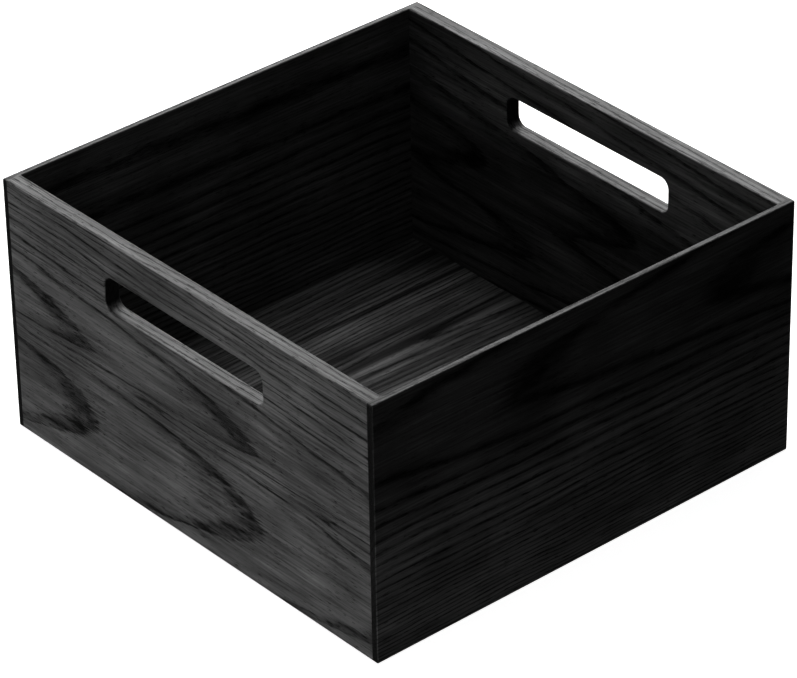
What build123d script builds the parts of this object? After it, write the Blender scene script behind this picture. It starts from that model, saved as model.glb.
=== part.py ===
from build123d import *
import os

# Open-topped storage box in black-stained ash, with a hand slot through each of its two thick walls.
# All sizes are in millimetres. The origin is on the ground under the middle of the box, +Z is up,
# the handle panels face -Y (front) and +Y (rear), and the side panels face -X (left) and +X (right).

# Overall sizes
box_width = 308.0
box_depth = 300.0
box_height = 160.0

# Stock thicknesses
handle_panel_thickness = 10.0
side_panel_thickness = 4.0
bottom_panel_thickness = 4.0

# Bottom panel and the grooves that hold it
bottom_panel_lift = 2.0
handle_groove_depth = 5.0
side_groove_depth = 1.5
groove_face_clearance = 0.1
groove_end_clearance = 0.3

# Hand slots
slot_length = 132.0
slot_height = 22.0
slot_below_rim = 22.0
slot_corner_radius = 6.0
slot_edge_radius = 1.0

# Sanded edges
arris_radius = 0.8

# Corner joints: glued, and held by headless steel pins under a skin of stained filler
glue_line = 0.05
pin_diameter = 1.2
pin_length = 18.0
pin_clearance = 0.03
pin_end_clearance = 0.5
pin_cover = 0.5
pins_per_corner = 4
pin_margin = 20.0

# Worked-out sizes
handle_panel_length = box_width - 2 * (side_panel_thickness + glue_line)
inner_depth = box_depth - 2 * handle_panel_thickness
inner_width = box_width - 2 * side_panel_thickness
groove_height = bottom_panel_thickness + 2 * groove_face_clearance
groove_middle = bottom_panel_lift + bottom_panel_thickness / 2
bottom_panel_length = inner_depth + 2 * (handle_groove_depth - groove_end_clearance)
bottom_panel_width = inner_width + 2 * (side_groove_depth - groove_end_clearance)
slot_middle = box_height - slot_below_rim - slot_height / 2
pin_spacing = (box_height - 2 * pin_margin) / (pins_per_corner - 1)
pin_hole_radius = pin_diameter / 2 + pin_clearance
pin_reach = pin_length + pin_cover - side_panel_thickness - glue_line
pin_line = box_depth / 2 - handle_panel_thickness / 2

corner_signs = [(-1, -1), (1, -1), (-1, 1), (1, 1)]


def wall_plane(direction, distance):
    """Upright plane facing out of the box along direction, at distance from the middle, at ground level."""
    outward = Vector(*direction)
    sideways = Vector(0, 0, 1).cross(outward)
    return Plane(origin=outward * distance, x_dir=sideways, z_dir=outward)


def pin_column(side, end):
    """Pin centres on one corner joint, on the plane between the side panel and the handle panel's end."""
    plane = Plane(origin=(0, 0, 0), x_dir=(0, side, 0), z_dir=(side, 0, 0))
    heights = [pin_margin + row * pin_spacing for row in range(pins_per_corner)]
    return plane, [(side * end * pin_line, height) for height in heights]


def make_handle_panel(name, end):
    """Thick wall with a hand slot; it stands between the side panels and carries the bottom in a groove."""
    outer = wall_plane((0, end, 0), box_depth / 2)
    with BuildPart() as panel:
        with BuildSketch(outer):
            Rectangle(handle_panel_length, box_height, align=(Align.CENTER, Align.MIN))
        extrude(amount=-handle_panel_thickness)

        # The rim is rounded inside and out, and the foot only outside
        long_edges = panel.edges().filter_by(Axis.X)
        rim_edges = long_edges.group_by(Axis.Z)[-1]
        outer_foot_edge = long_edges.group_by(Axis.Z)[0].sort_by(Axis.Y)[0 if end < 0 else -1]
        fillet(rim_edges + [outer_foot_edge], radius=arris_radius)

        # Hand slot, with its edges eased on both faces
        with BuildSketch(outer):
            with Locations((0, slot_middle)):
                RectangleRounded(slot_length, slot_height, slot_corner_radius)
        extrude(amount=-handle_panel_thickness, mode=Mode.SUBTRACT)
        slot_rims = panel.edges(Select.LAST).filter_by(GeomType.LINE).filter_by(Axis.Y, reverse=True)
        slot_rims += panel.edges(Select.LAST).filter_by(GeomType.CIRCLE)
        fillet(slot_rims, radius=slot_edge_radius)

        # Groove for the bottom panel, along the whole inner face
        with BuildSketch(wall_plane((0, end, 0), inner_depth / 2)):
            with Locations((0, groove_middle)):
                Rectangle(handle_panel_length, groove_height)
        extrude(amount=handle_groove_depth, mode=Mode.SUBTRACT)

        # Pin holes in both ends
        for side in (-1, 1):
            plane, centres = pin_column(side, end)
            with BuildSketch(plane.offset(handle_panel_length / 2)):
                with Locations(*centres):
                    Circle(pin_hole_radius)
            extrude(amount=-(pin_reach + pin_end_clearance), mode=Mode.SUBTRACT)
    panel.part.label = name
    return panel.part


def make_side_panel(name, side):
    """Thin wall that runs the whole depth of the box and covers the ends of both handle panels."""
    outer = wall_plane((side, 0, 0), box_width / 2)
    with BuildPart() as panel:
        with BuildSketch(outer):
            Rectangle(box_depth, box_height, align=(Align.CENTER, Align.MIN))
        extrude(amount=-side_panel_thickness)

        # Every outer edge is rounded, and so are the short top and bottom edges of the two ends
        outer_face = panel.faces().sort_by(Axis.X)[-1 if side > 0 else 0]
        short_edges = panel.edges().filter_by(Axis.X)
        fillet(outer_face.edges() + short_edges, radius=arris_radius)

        # The rim's inner edge is rounded only between the handle panels
        with BuildSketch(Plane.XZ.offset(-inner_depth / 2)):
            with Locations((side * (inner_width + arris_radius) / 2, box_height - arris_radius / 2)):
                Rectangle(arris_radius, arris_radius)
            with Locations((side * (inner_width / 2 + arris_radius), box_height - arris_radius)):
                Circle(arris_radius, mode=Mode.SUBTRACT)
        extrude(amount=inner_depth, mode=Mode.SUBTRACT)

        # Shallow stopped groove for the bottom panel's edge
        with BuildSketch(wall_plane((side, 0, 0), inner_width / 2)):
            with Locations((0, groove_middle)):
                Rectangle(bottom_panel_length + 2 * groove_end_clearance, groove_height)
        extrude(amount=side_groove_depth, mode=Mode.SUBTRACT)

        # Pin holes, closed towards the outer face by the filler
        for end in (-1, 1):
            plane, centres = pin_column(side, end)
            with BuildSketch(plane.offset(inner_width / 2)):
                with Locations(*centres):
                    Circle(pin_hole_radius)
            extrude(amount=side_panel_thickness - pin_cover, mode=Mode.SUBTRACT)
    panel.part.label = name
    return panel.part


def make_bottom_panel(name):
    """Flat panel held in the grooves of all four walls, a little above the ground."""
    with BuildPart() as panel:
        with BuildSketch(Plane.XY.offset(bottom_panel_lift)):
            Rectangle(bottom_panel_width, bottom_panel_length)
        extrude(amount=bottom_panel_thickness)
    panel.part.label = name
    return panel.part


def make_corner_pins(name):
    """Headless pins driven through the side panels into the ends of the handle panels."""
    with BuildPart() as pins:
        for side, end in corner_signs:
            plane, centres = pin_column(side, end)
            with BuildSketch(plane.offset(box_width / 2 - pin_cover)):
                with Locations(*centres):
                    Circle(pin_diameter / 2)
            extrude(amount=-pin_length)
    pins.part.label = name
    return pins.part


pieces = [
    make_handle_panel("front_handle_panel", -1),
    make_handle_panel("rear_handle_panel", 1),
    make_side_panel("left_side_panel", -1),
    make_side_panel("right_side_panel", 1),
    make_bottom_panel("bottom_panel"),
    make_corner_pins("corner_pins"),
]

os.makedirs("parts", exist_ok=True)
for piece in pieces:
    export_step(piece, f"parts/{piece.label}.step")
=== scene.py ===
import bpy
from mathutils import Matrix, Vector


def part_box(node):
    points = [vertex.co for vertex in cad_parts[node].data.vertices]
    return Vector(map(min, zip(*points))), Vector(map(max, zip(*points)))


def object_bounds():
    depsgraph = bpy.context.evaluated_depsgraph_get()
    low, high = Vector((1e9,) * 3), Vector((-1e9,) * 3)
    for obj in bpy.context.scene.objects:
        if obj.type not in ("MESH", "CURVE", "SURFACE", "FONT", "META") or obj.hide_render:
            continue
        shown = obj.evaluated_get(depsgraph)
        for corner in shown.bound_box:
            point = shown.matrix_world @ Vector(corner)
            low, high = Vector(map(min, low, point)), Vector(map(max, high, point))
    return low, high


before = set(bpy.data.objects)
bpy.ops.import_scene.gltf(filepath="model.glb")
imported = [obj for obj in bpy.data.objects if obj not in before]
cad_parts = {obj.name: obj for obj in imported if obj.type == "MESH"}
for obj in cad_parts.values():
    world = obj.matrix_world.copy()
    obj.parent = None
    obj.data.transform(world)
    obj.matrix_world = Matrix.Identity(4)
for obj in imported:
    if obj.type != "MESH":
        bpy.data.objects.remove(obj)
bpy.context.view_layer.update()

import math

import bpy
import numpy as np
from mathutils import Matrix, Quaternion, Vector

# An open-topped storage box of ash, stained black: two thick walls with hand slots, two thin walls and a
# floor, pinned at the corners. The CAD pieces are used as they are. Each gets its finish here, and then
# the studio is built round them. Lengths are in metres, and MM turns millimetres into them.

bl_info = {
    "name": "Ash storage box",
    "version": (1, 0, 0),
    "blender": (4, 5, 0),
    "location": "View3D > Sidebar > Ash box",
    "description": "Finishes an open storage box of black-stained ash and sets up its studio",
    "category": "Object",
}

BOX_LOW, BOX_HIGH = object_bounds()
BOX_MIDDLE = (BOX_LOW + BOX_HIGH) / 2

MM = 0.001


def linear(hex_colour, alpha=1.0):
    """Linear RGBA of an sRGB hex colour such as "#1a1a1c"."""
    parts = [int(hex_colour[place:place + 2], 16) / 255 for place in (1, 3, 5)]
    turned = [c / 12.92 if c <= 0.04045 else ((c + 0.055) / 1.055) ** 2.4 for c in parts]
    return (*turned, alpha)


def add_node(tree, kind, settings=None, links=None):
    """Adds a node. Settings go to its sockets or to its own properties, and links come from outputs."""
    node = tree.nodes.new(kind)
    for key, value in (settings or {}).items():
        if isinstance(key, int) or key in node.inputs:
            node.inputs[key].default_value = value
        else:
            setattr(node, key, value)
    for key, source in (links or {}).items():
        tree.links.new(source, node.inputs[key])
    return node


# ---------------------------------------------------------------------------------------------
# Settings


class AshFinishSettings(bpy.types.PropertyGroup):
    """Colours and sizes of stained ash."""

    late_colour: bpy.props.FloatVectorProperty(
        name="Latewood", description="Stained latewood between the pore bands",
        subtype="COLOR", size=4, min=0, max=1, default=linear("#525252"))
    early_colour: bpy.props.FloatVectorProperty(
        name="Earlywood", description="Stained earlywood, where the stain soaks in",
        subtype="COLOR", size=4, min=0, max=1, default=linear("#060606"))
    pore_colour: bpy.props.FloatVectorProperty(
        name="Pores", description="Inside of an open pore",
        subtype="COLOR", size=4, min=0, max=1, default=linear("#030303"))
    # Rubbed edge: thinned stain, and also a painted highlight along the rounded arrises
    arris_wear_and_highlight_colour: bpy.props.FloatVectorProperty(
        name="Rubbed edge", description="Edges where sanding and hands have thinned the stain",
        subtype="COLOR", size=4, min=0, max=1, default=linear("#4c4c4c"))
    # Real pores are about 0.25 mm wide and fibre streaks finer still. Both are drawn wider, so that they
    # show when the whole box is in view
    pore_width: bpy.props.FloatProperty(
        name="Pore width", description="Width of an open pore", unit="LENGTH", default=0.6 * MM)
    pore_length: bpy.props.FloatProperty(
        name="Pore length", description="Length of a pore dash", unit="LENGTH", default=7 * MM)
    fibre_width: bpy.props.FloatProperty(
        name="Fibre width", description="Width of a fibre streak", unit="LENGTH", default=1.3 * MM)
    fibre_length: bpy.props.FloatProperty(
        name="Fibre length", description="Length of a fibre streak", unit="LENGTH", default=45 * MM)
    tuft_width: bpy.props.FloatProperty(
        name="Tuft width", description="Width of a break in a band", unit="LENGTH", default=5 * MM)
    tuft_length: bpy.props.FloatProperty(
        name="Tuft length", description="Length of a break in a band", unit="LENGTH", default=22 * MM)
    streak_width: bpy.props.FloatProperty(
        name="Streak width", description="Width of a long streak in the stain",
        unit="LENGTH", default=5 * MM)
    streak_length: bpy.props.FloatProperty(
        name="Streak length", description="Length of a long streak in the stain",
        unit="LENGTH", default=260 * MM)
    wander: bpy.props.FloatProperty(
        name="Wander", description="How far the rings wander off line", unit="LENGTH", default=4 * MM)
    wander_span: bpy.props.FloatProperty(
        name="Wander span", description="Distance across the grain between wanders",
        unit="LENGTH", default=28 * MM)
    wander_length: bpy.props.FloatProperty(
        name="Wander length", description="Distance along the grain between wanders",
        unit="LENGTH", default=85 * MM)
    mottle_size: bpy.props.FloatProperty(
        name="Mottle size", description="Size of the blotches in the stain", unit="LENGTH", default=45 * MM)
    relief: bpy.props.FloatProperty(
        name="Relief", description="Depth of the open grain", unit="LENGTH", default=0.12 * MM)


class PinSettings(bpy.types.PropertyGroup):
    """Colours and sizes of the drawn steel pins."""

    dull_colour: bpy.props.FloatVectorProperty(
        name="Dull steel", description="Steel between the bright drawing marks",
        subtype="COLOR", size=4, min=0, max=1, default=linear("#9c9da0"))
    bright_colour: bpy.props.FloatVectorProperty(
        name="Bright steel", description="Steel where the die has polished it",
        subtype="COLOR", size=4, min=0, max=1, default=linear("#c2c3c6"))
    mark_width: bpy.props.FloatProperty(
        name="Mark width", description="Width of a drawing mark", unit="LENGTH", default=0.1 * MM)
    mark_length: bpy.props.FloatProperty(
        name="Mark length", description="Length of a drawing mark", unit="LENGTH", default=6 * MM)


class StudioSettings(bpy.types.PropertyGroup):
    """Camera, lights and floor."""

    azimuth: bpy.props.FloatProperty(
        name="Azimuth", description="Where the camera stands round the box",
        subtype="ANGLE", default=math.radians(49.556))
    elevation: bpy.props.FloatProperty(
        name="Elevation", description="Height of the camera above the horizon",
        subtype="ANGLE", default=math.radians(32.246))
    roll: bpy.props.FloatProperty(
        name="Roll", description="Turn of the camera about its own line of sight",
        subtype="ANGLE", default=math.radians(-1.093))
    distance: bpy.props.FloatProperty(
        name="Distance", description="From the camera to the box", unit="LENGTH", default=2.6)
    lens: bpy.props.FloatProperty(
        name="Lens", description="Focal length", subtype="DISTANCE_CAMERA", default=213.87)
    aim_drop: bpy.props.FloatProperty(
        name="Aim drop", description="How far the camera is lowered, in its own up direction",
        unit="LENGTH", default=13.17 * MM)
    floor_colour: bpy.props.FloatVectorProperty(
        name="Floor", description="Pale studio floor",
        subtype="COLOR", size=4, min=0, max=1, default=linear("#e6e6e6"))
    rim_light: bpy.props.FloatProperty(
        name="Rim light", description="Radiance of the softbox behind the box", default=6.3)
    top_light: bpy.props.FloatProperty(
        name="Top light", description="Radiance of the softbox above the box", default=5.0)
    key_light: bpy.props.FloatProperty(
        name="Key light", description="Radiance of the low card before the front panel", default=10.5)
    side_light: bpy.props.FloatProperty(
        name="Side light", description="Radiance of the low card beside the right panel", default=5.0)
    fill_light: bpy.props.FloatProperty(
        name="Fill light", description="Radiance of the weak softbox over the camera", default=0.45)
    ambience: bpy.props.FloatProperty(
        name="Ambience", description="Radiance of the room round the studio", default=0.012)


# ---------------------------------------------------------------------------------------------
# Stained ash

# How each board was sawn. along, inward and across are its directions: with the grain, into the wood from
# the face that is seen most, and across that face. figure lists growth years against height across the
# face in millimetres, read up the middle of the board, and lean is how many more years show per metre of
# grain at the board's low and high edges. years_deep is the years passed per metre of depth. start shifts
# the count, and tone is how light the wood is drawn at the low and high edges, which is painted light and
# shade for a wall lit more at one edge than the other. sharp_edge says which side of a band is crisp, and
# streaks is how much long light and dark streaks show. soft_bands is how often the softer bands come, in
# half turns for each year, and how much they show. seed keeps each board's noise its own.
BOARDS = {
    "front_handle_panel": {
        "along": (1, 0, 0), "inward": (0, 1, 0), "across": (0, 0, 1), "seed": 3.1, "start": 0.40,
        "lean": (7.1, 7.1), "years_deep": -260, "tone": (1.0, 1.0), "sharp_edge": 1, "streaks": 0.2,
        "soft_bands": (2.6, 0.38),
        "figure": ((0, 0.85), (7, 0.5), (17, 0.2), (27, 0.05), (37, 0.0), (50, 0.1), (61, 0.4), (67, 0.9),
                   (71, 1.6), (75, 0.9), (81, 0.05), (88, 0.04), (97, 0.18), (105, 0.4), (113, 1.0),
                   (119, 1.5), (124, 2.9), (131, 3.7), (135, 5.0), (143, 6.1), (147, 7.4), (153, 8.3),
                   (160, 10.6)),
    },
    "rear_handle_panel": {
        "along": (1, 0, 0), "inward": (0, 1, 0), "across": (0, 0, 1), "seed": 8.7, "start": 0.2,
        "lean": (8.0, 8.0), "years_deep": 240, "tone": (1.0, 1.2), "sharp_edge": 1, "streaks": 0.3,
        "soft_bands": (2.6, 0.38),
        "figure": ((0, 3.2), (15, 1.4), (30, 0.3), (42, 0.0), (55, 0.25), (66, 0.7), (76, 0.45), (88, 0.3),
                   (100, 0.7), (112, 1.2), (130, 2.1), (145, 3.1), (160, 4.6)),
    },
    "right_side_panel": {
        "along": (0, 1, 0), "inward": (-1, 0, 0), "across": (0, 0, 1), "seed": 5.3, "start": 0.62,
        "lean": (-1.0, -7.0), "years_deep": -260, "tone": (1.0, 0.42), "sharp_edge": -1, "streaks": 0.15,
        "soft_bands": (2.0, 0.8),
        "figure": ((0, 25.4), (22, 16.3), (34, 12.3), (45, 9.3), (60, 6.3), (73, 4.3), (88, 2.3), (97, 1.3),
                   (105, 0.7), (117, 0.08), (127, 0.0), (142, 0.14), (153, 0.55), (160, 0.95)),
    },
    "left_side_panel": {
        "along": (0, 1, 0), "inward": (-1, 0, 0), "across": (0, 0, 1), "seed": 1.9, "start": 0.25,
        "lean": (-1.0, -1.2), "years_deep": 250, "tone": (1.0, 0.85), "sharp_edge": -1, "streaks": 0.15,
        "soft_bands": (2.0, 0.8),
        "figure": ((0, 22.0), (29, 14.0), (43, 11.0), (59, 8.0), (80, 5.0), (95, 3.0), (105, 2.1),
                   (127, 1.1), (150, 0.3), (160, 0.0)),
    },
    "bottom_panel": {
        "along": (0, -1, 0), "inward": (0, 0, -1), "across": (1, 0, 0), "seed": 6.4, "start": 0.0,
        "lean": (10.0, 10.0), "years_deep": 200, "tone": (1.0, 1.0), "sharp_edge": 1, "streaks": 0.8,
        "soft_bands": (2.0, 0.6),
        "figure": ((0, 24.0), (30, 16.5), (55, 9.5), (75, 3.2), (86, 0.8), (91, 0.5), (97, 0.8), (110, 3.5),
                   (140, 10.5), (180, 19.0), (220, 27.0), (260, 34.0), (302, 41.0)),
    },
}

# The values below are shared by all the boards. A share runs from 0 to 1, and a noise's level does too,
# though it seldom strays far from 0.5

# How dark the earlywood is through one year's growth: pairs of a share of the year and the darkness there
YEAR_START, YEAR_END = 0.35, 0.45
YEAR_STOPS = ((0.40, 0.0), (0.74, 0.22), (0.89, 0.92), (0.97, 1.0))
# The softer bands start this many half turns on from the crisp ones, and show above this share of a turn
SOFT_BAND_OFFSET = 1.1
SOFT_BAND_EDGE = 0.45
# Shares of the face's height between which one edge's lean or tone gives way to the other's
LEAN_CHANGE = (0.3, 0.75)
TONE_CHANGE = (0.35, 0.65)
# Years by which tufts and fibres shift a band's edge
TUFT_FRAY = 0.14
FIBRE_FRAY = 0.16
# What is added to a board's seed, so that its noises differ from one another
TUFT_SEED = 7
MOTTLE_SEED = 20
STREAK_SEED = 30
# Noise levels, and the strength of the bands or the lightness of the stain that they give
TUFT_LEVELS, TUFT_STRENGTH = (0.3, 0.7), (0.35, 1.15)
MOTTLE_LEVELS, MOTTLE_TONE = (0.25, 0.75), (0.65, 1.35)
FIBRE_LEVELS, FIBRE_TONE = (0.3, 0.7), (0.45, 1.55)
STREAK_LEVELS = (0.35, 0.65)
# A pore opens where its noise is over the first level in latewood, and over the second in earlywood
PORE_LEVELS = (0.62, 0.46)
PORE_EDGE = 0.08
PORE_DARKNESS = 0.85
# How squarely a face looks along the grain, from where the end grain starts to where it is full
END_FACING = (0.6, 0.95)
END_TONE = 0.10
# How squarely a face looks along any one axis, from where the lighter rounded edge starts to where it is
# full: partly rubbed stain, partly a painted highlight along the arris
RUB_AND_HIGHLIGHT_FACING = (0.99, 0.80)
RUB_AND_HIGHLIGHT_STRENGTH = 0.35
# Sheen: smooth latewood, and duller earlywood and pores
ROUGHNESS = (0.36, 0.50)
# Wood's usual index. The specular level is far below the usual 0.5, so that the matt black stain keeps its
# depth and the sheen doesn't wash out the bands
WOOD_IOR = 1.5
WOOD_SPECULAR = 0.10
# Relief: how deep the earlywood lies beside a pore, and both beside the fibres
EARLY_HOLLOW = 0.4
HOLLOW_DEPTH = -0.7
RELIEF_STRENGTH = 0.8


def ash_material(node, finish):
    """Ash, sawn and sanded, stained black and oiled matt.

    To the eye: soft dark bands of open pores for each year's growth, which run as arches where the saw
    went near the heart and as fine parallel lines further out, greyer dense wood between them, and a dull
    sheen that the pores break up.
    """
    board = BOARDS[node]
    material = bpy.data.materials.new(f"stained_ash_{node}")
    material.use_nodes = True
    tree = material.node_tree
    tree.nodes.clear()

    # The board's own space: X with the grain, Y into the wood from its face, Z up its face from one edge
    low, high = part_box(node)
    face = sum(min(low[i] * board["inward"][i], high[i] * board["inward"][i]) for i in range(3))
    edge = sum(min(low[i] * board["across"][i], high[i] * board["across"][i]) for i in range(3))
    span = sum(abs(board["across"][i]) * (high[i] - low[i]) for i in range(3))
    turn = Matrix((board["along"], board["inward"], board["across"])).to_euler()
    place = add_node(tree, "ShaderNodeTexCoord")
    grain = add_node(
        tree, "ShaderNodeMapping", {"Rotation": turn, "Location": (0.0, -face, -edge)},
        {"Vector": place.outputs["Object"]})

    # The rings wander slowly, so no line is quite straight
    wander_place = add_node(
        tree, "ShaderNodeMapping",
        {"Scale": (1 / finish.wander_length, 1 / finish.wander_span, 1 / finish.wander_span)},
        {"Vector": grain.outputs["Vector"]})
    wander = add_node(
        tree, "ShaderNodeTexNoise",
        {"noise_dimensions": "4D", "W": board["seed"], "Scale": 1.0, "Detail": 2.0, "Roughness": 0.5},
        {"Vector": wander_place.outputs["Vector"]})
    wander_offset = add_node(
        tree, "ShaderNodeMapRange", {"To Min": -finish.wander, "To Max": finish.wander},
        {"Value": wander.outputs["Fac"]})
    parts = add_node(tree, "ShaderNodeSeparateXYZ", {}, {"Vector": grain.outputs["Vector"]})
    across = add_node(
        tree, "ShaderNodeMath", {"operation": "ADD"},
        {0: parts.outputs["Z"], 1: wander_offset.outputs["Result"]})
    share = add_node(
        tree, "ShaderNodeMath", {"operation": "DIVIDE", 1: span, "use_clamp": True}, {0: across.outputs[0]})

    # Years of growth: up the face, along the grain and into the wood
    most_years = max(years for _, years in board["figure"])
    figure = add_node(tree, "ShaderNodeFloatCurve", {}, {"Value": share.outputs[0]})
    curve = figure.mapping.curves[0]
    places = [(height * MM / span, years / most_years) for height, years in board["figure"]]
    curve.points[0].location = (0.0, places[0][1])
    curve.points[1].location = (1.0, places[-1][1])
    for height, years in places[1:-1]:
        curve.points.new(height, years)
    figure.mapping.update()
    lean = add_node(
        tree, "ShaderNodeMapRange",
        {"interpolation_type": "SMOOTHSTEP", "From Min": LEAN_CHANGE[0], "From Max": LEAN_CHANGE[1],
         "To Min": board["lean"][0], "To Max": board["lean"][1]},
        {"Value": share.outputs[0]})
    up_face = add_node(
        tree, "ShaderNodeMath", {"operation": "MULTIPLY_ADD", 1: most_years, 2: board["start"]},
        {0: figure.outputs["Value"]})
    with_grain = add_node(
        tree, "ShaderNodeMath", {"operation": "MULTIPLY_ADD"},
        {0: parts.outputs["X"], 1: lean.outputs["Result"], 2: up_face.outputs[0]})
    with_depth = add_node(
        tree, "ShaderNodeMath", {"operation": "MULTIPLY_ADD", 1: board["years_deep"]},
        {0: parts.outputs["Y"], 2: with_grain.outputs[0]})

    # Fibres: long thin streaks, which also fray the bands' edges
    fibre_place = add_node(
        tree, "ShaderNodeMapping",
        {"Scale": (1 / finish.fibre_length, 1 / finish.fibre_width, 1 / finish.fibre_width)},
        {"Vector": grain.outputs["Vector"]})
    fibre = add_node(
        tree, "ShaderNodeTexNoise", {"Scale": 1.0, "Detail": 4.0, "Roughness": 0.6},
        {"Vector": fibre_place.outputs["Vector"]})
    tuft_place = add_node(
        tree, "ShaderNodeMapping",
        {"Scale": (1 / finish.tuft_length, 1 / finish.tuft_width, 1 / finish.tuft_width)},
        {"Vector": grain.outputs["Vector"]})
    tuft = add_node(
        tree, "ShaderNodeTexNoise",
        {"noise_dimensions": "4D", "W": board["seed"] + TUFT_SEED, "Scale": 1.0, "Detail": 3.0,
         "Roughness": 0.6},
        {"Vector": tuft_place.outputs["Vector"]})
    frayed = add_node(
        tree, "ShaderNodeMath", {"operation": "MULTIPLY_ADD", 1: TUFT_FRAY},
        {0: tuft.outputs["Fac"], 2: with_depth.outputs[0]})
    years = add_node(
        tree, "ShaderNodeMath", {"operation": "MULTIPLY_ADD", 1: FIBRE_FRAY},
        {0: fibre.outputs["Fac"], 2: frayed.outputs[0]})

    # A year's band of earlywood has one sharp edge and fades away from it into latewood
    counted = add_node(
        tree, "ShaderNodeMath", {"operation": "MULTIPLY", 1: board["sharp_edge"]}, {0: years.outputs[0]})
    season = add_node(tree, "ShaderNodeMath", {"operation": "FRACT"}, {0: counted.outputs[0]})
    band = add_node(tree, "ShaderNodeValToRGB", {}, {"Fac": season.outputs[0]})
    ramp = band.color_ramp
    ramp.interpolation = "EASE"
    ramp.elements[0].position = 0.0
    ramp.elements[0].color = (YEAR_START, YEAR_START, YEAR_START, 1)
    ramp.elements[1].position = 1.0
    ramp.elements[1].color = (YEAR_END, YEAR_END, YEAR_END, 1)
    for position, value in YEAR_STOPS:
        element = ramp.elements.new(position)
        element.color = (value, value, value, 1)

    # Softer bands lie under the crisp ones where the lines run close, and between them elsewhere
    soft_rate, soft_strength = board["soft_bands"]
    soft_years = add_node(
        tree, "ShaderNodeMath", {"operation": "MULTIPLY_ADD", 1: soft_rate, 2: SOFT_BAND_OFFSET},
        {0: counted.outputs[0]})
    soft_season = add_node(
        tree, "ShaderNodeMath", {"operation": "PINGPONG", 1: 1.0}, {0: soft_years.outputs[0]})
    soft_band = add_node(
        tree, "ShaderNodeMapRange",
        {"interpolation_type": "SMOOTHSTEP", "From Min": SOFT_BAND_EDGE, "From Max": 1.0,
         "To Max": soft_strength},
        {"Value": soft_season.outputs[0]})
    both = add_node(
        tree, "ShaderNodeMath", {"operation": "MAXIMUM"},
        {0: band.outputs["Color"], 1: soft_band.outputs["Result"]})
    patch_gain = add_node(
        tree, "ShaderNodeMapRange",
        {"From Min": TUFT_LEVELS[0], "From Max": TUFT_LEVELS[1],
         "To Min": TUFT_STRENGTH[0], "To Max": TUFT_STRENGTH[1]},
        {"Value": tuft.outputs["Fac"]})
    early = add_node(
        tree, "ShaderNodeMath", {"operation": "MULTIPLY", "use_clamp": True},
        {0: both.outputs[0], 1: patch_gain.outputs["Result"]})

    # Open pores: short dashes, crowded in the earlywood
    pore_place = add_node(
        tree, "ShaderNodeMapping",
        {"Scale": (1 / finish.pore_length, 1 / finish.pore_width, 1 / finish.pore_width)},
        {"Vector": grain.outputs["Vector"]})
    pore_noise = add_node(
        tree, "ShaderNodeTexNoise", {"Scale": 1.0, "Detail": 2.0, "Roughness": 0.5},
        {"Vector": pore_place.outputs["Vector"]})
    pore_level = add_node(
        tree, "ShaderNodeMapRange", {"To Min": PORE_LEVELS[0], "To Max": PORE_LEVELS[1]},
        {"Value": early.outputs[0]})
    pore_edge = add_node(
        tree, "ShaderNodeMath", {"operation": "ADD", 1: PORE_EDGE}, {0: pore_level.outputs["Result"]})
    pore = add_node(
        tree, "ShaderNodeMapRange", {"interpolation_type": "SMOOTHSTEP"},
        {"Value": pore_noise.outputs["Fac"], "From Min": pore_level.outputs["Result"],
         "From Max": pore_edge.outputs[0]})

    # Stain takes unevenly over a few centimetres. The board is also drawn lighter or darker towards one
    # edge, which is painted light and shade for how the light falls across the wall
    mottle = add_node(
        tree, "ShaderNodeTexNoise",
        {"noise_dimensions": "4D", "W": board["seed"] + MOTTLE_SEED, "Scale": 1 / finish.mottle_size,
         "Detail": 3.0},
        {"Vector": place.outputs["Object"]})
    mottle_gain = add_node(
        tree, "ShaderNodeMapRange",
        {"From Min": MOTTLE_LEVELS[0], "From Max": MOTTLE_LEVELS[1],
         "To Min": MOTTLE_TONE[0], "To Max": MOTTLE_TONE[1]},
        {"Value": mottle.outputs["Fac"]})
    fibre_gain = add_node(
        tree, "ShaderNodeMapRange",
        {"From Min": FIBRE_LEVELS[0], "From Max": FIBRE_LEVELS[1],
         "To Min": FIBRE_TONE[0], "To Max": FIBRE_TONE[1]},
        {"Value": fibre.outputs["Fac"]})
    streak_place = add_node(
        tree, "ShaderNodeMapping",
        {"Scale": (1 / finish.streak_length, 1 / finish.streak_width, 1 / finish.streak_width)},
        {"Vector": grain.outputs["Vector"]})
    streak = add_node(
        tree, "ShaderNodeTexNoise",
        {"noise_dimensions": "4D", "W": board["seed"] + STREAK_SEED, "Scale": 1.0, "Detail": 2.0},
        {"Vector": streak_place.outputs["Vector"]})
    streak_gain = add_node(
        tree, "ShaderNodeMapRange",
        {"From Min": STREAK_LEVELS[0], "From Max": STREAK_LEVELS[1],
         "To Min": 1 - board["streaks"], "To Max": 1 + board["streaks"]},
        {"Value": streak.outputs["Fac"]})
    # Painted light and shade: the board drawn lighter or darker from its low edge to its high edge
    painted_edge_shading = add_node(
        tree, "ShaderNodeMapRange",
        {"interpolation_type": "SMOOTHSTEP", "From Min": TONE_CHANGE[0], "From Max": TONE_CHANGE[1],
         "To Min": board["tone"][0], "To Max": board["tone"][1]},
        {"Value": share.outputs[0]})
    uneven = add_node(
        tree, "ShaderNodeMath", {"operation": "MULTIPLY"},
        {0: mottle_gain.outputs["Result"], 1: fibre_gain.outputs["Result"]})
    streaked = add_node(
        tree, "ShaderNodeMath", {"operation": "MULTIPLY"},
        {0: uneven.outputs[0], 1: streak_gain.outputs["Result"]})
    gain = add_node(
        tree, "ShaderNodeMath", {"operation": "MULTIPLY"},
        {0: streaked.outputs[0], 1: painted_edge_shading.outputs["Result"]})

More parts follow.
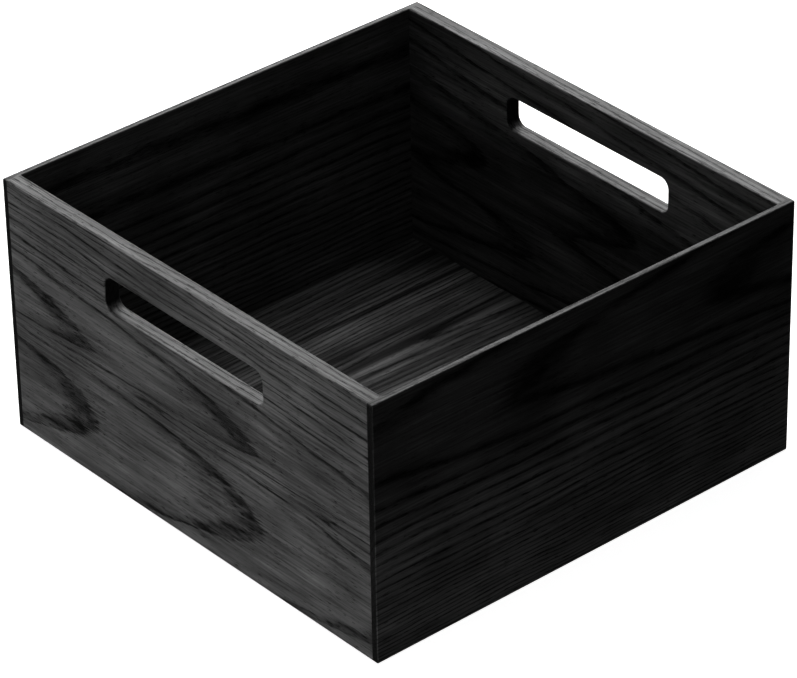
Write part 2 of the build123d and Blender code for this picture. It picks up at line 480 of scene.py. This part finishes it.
    # End grain soaks up more stain
    end_way = add_node(
        tree, "ShaderNodeVectorMath", {"operation": "DOT_PRODUCT", 1: board["along"]},
        {0: place.outputs["Normal"]})
    end_facing = add_node(tree, "ShaderNodeMath", {"operation": "ABSOLUTE"}, {0: end_way.outputs["Value"]})
    end_gain = add_node(
        tree, "ShaderNodeMapRange",
        {"From Min": END_FACING[0], "From Max": END_FACING[1], "To Min": 1.0, "To Max": END_TONE},
        {"Value": end_facing.outputs[0]})
    soaked = add_node(
        tree, "ShaderNodeMath", {"operation": "MULTIPLY"},
        {0: gain.outputs[0], 1: end_gain.outputs["Result"]})

    # Rounded edges face no single way: there the stain is rubbed thinner, and the lighter colour there is
    # also a painted highlight along the arrises
    facing = add_node(
        tree, "ShaderNodeVectorMath", {"operation": "ABSOLUTE"}, {0: place.outputs["Normal"]})
    facing_parts = add_node(tree, "ShaderNodeSeparateXYZ", {}, {"Vector": facing.outputs["Vector"]})
    larger = add_node(
        tree, "ShaderNodeMath", {"operation": "MAXIMUM"},
        {0: facing_parts.outputs["X"], 1: facing_parts.outputs["Y"]})
    largest = add_node(
        tree, "ShaderNodeMath", {"operation": "MAXIMUM"},
        {0: larger.outputs[0], 1: facing_parts.outputs["Z"]})
    rubbed_and_highlit = add_node(
        tree, "ShaderNodeMapRange",
        {"From Min": RUB_AND_HIGHLIGHT_FACING[0], "From Max": RUB_AND_HIGHLIGHT_FACING[1], "To Max": RUB_AND_HIGHLIGHT_STRENGTH},
        {"Value": largest.outputs[0]})

    # Colour: latewood to earlywood, then the rubbed edges with their painted highlight, the uneven stain
    # with the painted edge shading, and the pores
    wood = add_node(
        tree, "ShaderNodeMix", {"data_type": "RGBA", 6: finish.late_colour, 7: finish.early_colour},
        {0: early.outputs[0]})
    worn_and_highlit = add_node(
        tree, "ShaderNodeMix", {"data_type": "RGBA", 7: finish.arris_wear_and_highlight_colour},
        {0: rubbed_and_highlit.outputs["Result"], 6: wood.outputs[2]})
    toned = add_node(
        tree, "ShaderNodeVectorMath", {"operation": "SCALE"},
        {0: worn_and_highlit.outputs[2], "Scale": soaked.outputs[0]})
    pore_strength = add_node(
        tree, "ShaderNodeMath", {"operation": "MULTIPLY", 1: PORE_DARKNESS}, {0: pore.outputs["Result"]})
    colour = add_node(
        tree, "ShaderNodeMix", {"data_type": "RGBA", 7: finish.pore_colour},
        {0: pore_strength.outputs[0], 6: toned.outputs["Vector"]})

    # Sheen and relief: earlywood and pores are dull and lie lower
    dullness = add_node(
        tree, "ShaderNodeMath", {"operation": "MAXIMUM"},
        {0: early.outputs[0], 1: pore.outputs["Result"]})
    roughness = add_node(
        tree, "ShaderNodeMapRange", {"To Min": ROUGHNESS[0], "To Max": ROUGHNESS[1]},
        {"Value": dullness.outputs[0]})
    hollow = add_node(
        tree, "ShaderNodeMath", {"operation": "MULTIPLY_ADD", 1: EARLY_HOLLOW},
        {0: early.outputs[0], 2: pore.outputs["Result"]})
    height = add_node(
        tree, "ShaderNodeMath", {"operation": "MULTIPLY_ADD", 1: HOLLOW_DEPTH},
        {0: hollow.outputs[0], 2: fibre.outputs["Fac"]})
    bump = add_node(
        tree, "ShaderNodeBump", {"Strength": RELIEF_STRENGTH, "Distance": finish.relief},
        {"Height": height.outputs[0]})

    shader = add_node(
        tree, "ShaderNodeBsdfPrincipled", {"IOR": WOOD_IOR, "Specular IOR Level": WOOD_SPECULAR},
        {"Base Color": colour.outputs[2], "Roughness": roughness.outputs["Result"],
         "Normal": bump.outputs["Normal"]})
    add_node(tree, "ShaderNodeOutputMaterial", {}, {"Surface": shader.outputs["BSDF"]})
    return material


# ---------------------------------------------------------------------------------------------
# Steel pins

STEEL_METALLIC = 1.0
STEEL_ROUGHNESS = (0.25, 0.45)


def steel_pin_material(name, pins):
    """Drawn mild-steel wire, zinc bright: a plain grey metal with fine lengthwise drawing marks.

    The pins run along X. They are hidden in the wood, so their marks stay at their real width.
    """
    material = bpy.data.materials.new(name)
    material.use_nodes = True
    tree = material.node_tree
    tree.nodes.clear()
    place = add_node(tree, "ShaderNodeTexCoord")
    marks_place = add_node(
        tree, "ShaderNodeMapping",
        {"Scale": (1 / pins.mark_length, 1 / pins.mark_width, 1 / pins.mark_width)},
        {"Vector": place.outputs["Object"]})
    marks = add_node(
        tree, "ShaderNodeTexNoise", {"Scale": 1.0, "Detail": 2.0}, {"Vector": marks_place.outputs["Vector"]})
    roughness = add_node(
        tree, "ShaderNodeMapRange", {"To Min": STEEL_ROUGHNESS[0], "To Max": STEEL_ROUGHNESS[1]},
        {"Value": marks.outputs["Fac"]})
    colour = add_node(
        tree, "ShaderNodeMix", {"data_type": "RGBA", 6: pins.dull_colour, 7: pins.bright_colour},
        {0: marks.outputs["Fac"]})
    shader = add_node(
        tree, "ShaderNodeBsdfPrincipled", {"Metallic": STEEL_METALLIC},
        {"Base Color": colour.outputs[2], "Roughness": roughness.outputs["Result"]})
    add_node(tree, "ShaderNodeOutputMaterial", {}, {"Surface": shader.outputs["BSDF"]})
    return material


def finish_node(node, material):
    """Gives a CAD node its material."""
    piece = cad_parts.get(node)
    if piece is None:
        raise RuntimeError(f"the frame has no node named {node}")
    if not piece.material_slots:
        piece.data.materials.append(material)
    for slot in piece.material_slots:
        slot.material = material


# ---------------------------------------------------------------------------------------------
# Studio

# Studio floor: flat out to a bend, then a quarter circle up to a wall, in metres
FLOOR_HUB_RADIUS = 0.5
FLOOR_FLAT_RADIUS = 4.0
FLOOR_BEND_RADIUS = 2.0
FLOOR_WALL_TOP = 6.0
FLOOR_TURNS = 96
FLOOR_BEND_STEPS = 16
# White acrylic is a dull plastic, and here it is nearly as bright as paper white by its own light
FLOOR_ROUGHNESS = 0.9
FLOOR_SPECULAR = 0.1
FLOOR_GLOW = 0.95

# Lamps: the setting that holds each one's radiance, the way to it from the box, and its distance, width and
# height in metres
LAMPS = {
    "rim_softbox": ("rim_light", (-0.65, 0.55, 0.53), 2.0, 1.6, 1.1),
    "top_softbox": ("top_light", (-0.32, 0.30, 0.90), 2.0, 1.3, 1.3),
    "front_card": ("key_light", (-0.12, -1.0, -0.02), 0.95, 0.8, 0.22),
    "side_card": ("side_light", (0.8, -0.6, -0.1), 1.0, 0.5, 0.2),
    "fill_softbox": ("fill_light", (0.75, -0.5, 0.9), 2.0, 1.0, 1.0),
}

# Distances from the camera within which things are drawn
CAMERA_NEAR = 0.1
CAMERA_FAR = 30


def studio_floor(colour):
    """Seamless floor: a flat disc that curves up into a wall all round.

    A profile of radius and height, turned about the upright axis. The profile is flat out to the bend,
    then a quarter circle, then straight up.
    """
    bend = np.linspace(0, math.pi / 2, FLOOR_BEND_STEPS)[1:]
    wall_radius = FLOOR_FLAT_RADIUS + FLOOR_BEND_RADIUS
    radii = np.concatenate((
        [FLOOR_HUB_RADIUS, FLOOR_FLAT_RADIUS], FLOOR_FLAT_RADIUS + FLOOR_BEND_RADIUS * np.sin(bend),
        [wall_radius]))
    heights = np.concatenate(([0.0, 0.0], FLOOR_BEND_RADIUS * (1 - np.cos(bend)), [FLOOR_WALL_TOP]))
    angles = np.linspace(0, 2 * math.pi, FLOOR_TURNS, endpoint=False)
    x = np.outer(radii, np.cos(angles)).ravel()
    y = np.outer(radii, np.sin(angles)).ravel()
    z = np.repeat(heights, FLOOR_TURNS)
    points = np.column_stack((x, y, z))
    row, column = np.meshgrid(np.arange(len(radii) - 1), np.arange(FLOOR_TURNS), indexing="ij")
    after = (column + 1) % FLOOR_TURNS
    inner, outer = row * FLOOR_TURNS, (row + 1) * FLOOR_TURNS
    quads = np.stack((inner + column, outer + column, outer + after, inner + after), axis=-1)
    faces = quads.reshape(-1, 4).tolist() + [list(range(FLOOR_TURNS))]
    mesh = bpy.data.meshes.new("studio_floor")
    mesh.from_pydata(points.tolist(), [], faces)
    mesh.shade_smooth()
    floor = bpy.data.objects.new("studio_floor", mesh)
    bpy.context.scene.collection.objects.link(floor)

    # White acrylic shooting table lit from beneath, which drowns nearly all of the box's shadow
    material = bpy.data.materials.new("backlit_white_acrylic")
    material.use_nodes = True
    tree = material.node_tree
    tree.nodes.clear()
    shader = add_node(
        tree, "ShaderNodeBsdfPrincipled",
        {"Base Color": colour, "Roughness": FLOOR_ROUGHNESS, "Specular IOR Level": FLOOR_SPECULAR,
         "Emission Color": linear("#ffffff"), "Emission Strength": FLOOR_GLOW})
    add_node(tree, "ShaderNodeOutputMaterial", {}, {"Surface": shader.outputs["BSDF"]})
    mesh.materials.append(material)
    return floor


def softbox(name, direction, distance, width, height, radiance):
    """Area light that looks at the box from direction; radiance is what its face shines with."""
    data = bpy.data.lights.new(name, "AREA")
    data.shape = "RECTANGLE"
    data.size = width
    data.size_y = height
    data.energy = radiance * math.pi * width * height
    lamp = bpy.data.objects.new(name, data)
    way = Vector(direction).normalized()
    lamp.location = BOX_MIDDLE + way * distance
    lamp.rotation_mode = "QUATERNION"
    lamp.rotation_quaternion = way.to_track_quat("Z", "Y")
    lamp.visible_camera = False
    bpy.context.scene.collection.objects.link(lamp)


def studio_camera(studio):
    """Long-lens camera that looks at the box's middle, rolled a little and lowered by aim_drop."""
    back = Vector((
        math.sin(studio.azimuth) * math.cos(studio.elevation),
        -math.cos(studio.azimuth) * math.cos(studio.elevation),
        math.sin(studio.elevation)))
    turn = back.to_track_quat("Z", "Y") @ Quaternion((0, 0, 1), studio.roll)
    data = bpy.data.cameras.new("camera")
    data.lens = studio.lens
    data.clip_start = CAMERA_NEAR
    data.clip_end = CAMERA_FAR
    camera = bpy.data.objects.new("camera", data)
    camera.rotation_mode = "QUATERNION"
    camera.rotation_quaternion = turn
    camera.location = BOX_MIDDLE + back * studio.distance - turn @ Vector((0, studio.aim_drop, 0))
    bpy.context.scene.collection.objects.link(camera)
    return camera


# ---------------------------------------------------------------------------------------------
# Operators


class ASHBOX_OT_handle_panels(bpy.types.Operator):
    """Finish the two thick walls with the hand slots"""

    bl_idname = "ashbox.handle_panels"
    bl_label = "Handle panels"

    def execute(self, context):
        for node in ("front_handle_panel", "rear_handle_panel"):
            finish_node(node, ash_material(node, context.scene.ash_finish))
        return {"FINISHED"}


class ASHBOX_OT_side_panels(bpy.types.Operator):
    """Finish the two thin walls"""

    bl_idname = "ashbox.side_panels"
    bl_label = "Side panels"

    def execute(self, context):
        for node in ("left_side_panel", "right_side_panel"):
            finish_node(node, ash_material(node, context.scene.ash_finish))
        return {"FINISHED"}


class ASHBOX_OT_bottom_panel(bpy.types.Operator):
    """Finish the floor of the box"""

    bl_idname = "ashbox.bottom_panel"
    bl_label = "Bottom panel"

    def execute(self, context):
        node = "bottom_panel"
        finish_node(node, ash_material(node, context.scene.ash_finish))
        return {"FINISHED"}


class ASHBOX_OT_corner_pins(bpy.types.Operator):
    """Finish the hidden steel pins"""

    bl_idname = "ashbox.corner_pins"
    bl_label = "Corner pins"

    def execute(self, context):
        finish_node("corner_pins", steel_pin_material("drawn_steel_pins", context.scene.ash_pins))
        return {"FINISHED"}


class ASHBOX_OT_stage(bpy.types.Operator):
    """Build the floor, the lights and the camera"""

    bl_idname = "ashbox.stage"
    bl_label = "Studio"

    def execute(self, context):
        scene = context.scene
        studio = scene.ash_studio

        floor = studio_floor(studio.floor_colour)
        # The floor shows, but throws no light back on the box, as if black cards lay beside it
        floor.visible_diffuse = False
        floor.visible_glossy = False

        world = bpy.data.worlds.new("studio_room")
        world.use_nodes = True
        backdrop = world.node_tree.nodes["Background"]
        backdrop.inputs["Color"].default_value = linear("#ffffff")
        backdrop.inputs["Strength"].default_value = studio.ambience
        scene.world = world
        scene.view_settings.view_transform = "Standard"

        for name, (setting, direction, distance, width, height) in LAMPS.items():
            softbox(name, direction, distance, width, height, getattr(studio, setting))
        scene.camera = studio_camera(studio)
        return {"FINISHED"}


class ASHBOX_PT_panel(bpy.types.Panel):
    """The settings and a button for each step, in the 3D view's sidebar"""

    bl_idname = "ASHBOX_PT_panel"
    bl_label = "Ash storage box"
    bl_space_type = "VIEW_3D"
    bl_region_type = "UI"
    bl_category = "Ash box"

    def draw(self, context):
        for pointer, kind in SETTINGS.items():
            column = self.layout.column()
            for name in kind.__annotations__:
                column.prop(getattr(context.scene, pointer), name)
        for operator in OPERATORS:
            self.layout.operator(operator.bl_idname)


SETTINGS = {"ash_finish": AshFinishSettings, "ash_pins": PinSettings, "ash_studio": StudioSettings}
OPERATORS = (
    ASHBOX_OT_handle_panels,
    ASHBOX_OT_side_panels,
    ASHBOX_OT_bottom_panel,
    ASHBOX_OT_corner_pins,
    ASHBOX_OT_stage,
)
CLASSES = (*SETTINGS.values(), *OPERATORS, ASHBOX_PT_panel)


def register():
    for kind in CLASSES:
        bpy.utils.register_class(kind)
    for pointer, kind in SETTINGS.items():
        setattr(bpy.types.Scene, pointer, bpy.props.PointerProperty(type=kind))


def unregister():
    for pointer in SETTINGS:
        delattr(bpy.types.Scene, pointer)
    for kind in reversed(CLASSES):
        bpy.utils.unregister_class(kind)


def main():
    """Runs every step in order."""
    register()
    bpy.ops.ashbox.handle_panels()
    bpy.ops.ashbox.side_panels()
    bpy.ops.ashbox.bottom_panel()
    bpy.ops.ashbox.corner_pins()
    bpy.ops.ashbox.stage()


if __name__ == "__main__":
    main()
